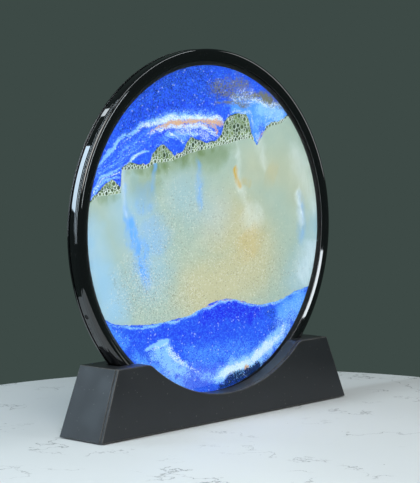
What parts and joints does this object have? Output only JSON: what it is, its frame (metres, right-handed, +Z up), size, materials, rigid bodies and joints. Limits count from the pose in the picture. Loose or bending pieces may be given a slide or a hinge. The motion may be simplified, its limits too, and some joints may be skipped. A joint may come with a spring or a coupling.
{
  "type": "moving sand hourglass",
  "caption": "Round moving-sand hourglass: a glass-fronted disc of coloured sand, liquid and air in a glossy ring, turning in a slotted cradle stand.",
  "frame": {"origin": "middle of the footprint, on the table under the feet", "axes": "+Z up; the disc's axis lies along Y and its front faces -Y; X runs along the stand"},
  "size_m": [0.25, 0.042, 0.257],
  "materials": {
    "stand": "satin black, fine moulded grain",
    "base_plate": "matt black",
    "foot": "matt",
    "screw": "zinc plated",
    "ring": "high gloss black",
    "spacer": "black",
    "pane": "clear, polished",
    "seal": "clear grey silicone",
    "plug": "matt",
    "liquid": "milky, pale green and blue",
    "air": "clear foam",
    "blue_sand": "granular",
    "white_sand": "granular",
    "gold_sand": "granular, metallic",
    "dark_sand": "granular"
  },
  "bodies": {
    "stand": {"stand_body": "stand", "stand_front_cover": "stand", "stand_base_plate": "base_plate", "foot_front_left": "foot", "foot_front_right": "foot", "foot_rear_left": "foot", "foot_rear_right": "foot", "base_screw_front_left": "screw", "base_screw_front_right": "screw", "base_screw_rear_left": "screw", "base_screw_rear_right": "screw"},
    "picture": {"front_bezel": "ring", "rear_bezel": "ring", "rim_band": "ring", "front_pane": "pane", "rear_pane": "pane", "front_seal": "seal", "rear_seal": "seal", "chamber_spacer": "spacer", "fill_plug": "plug", "liquid": "liquid", "air_bubbles": "air", "upper_blue_sand": "blue_sand", "upper_white_sand": "white_sand", "upper_gold_sand": "gold_sand", "lower_blue_sand": "blue_sand", "lower_white_sand": "white_sand", "lower_dark_sand": "dark_sand"}
  },
  "joints": [
    {"name": "frame_turn", "type": "hinge", "parent": "stand", "child": "picture", "pos_m": [0, 0, 0.132], "axis": [0, 1, 0], "continuous": true}
  ]
}
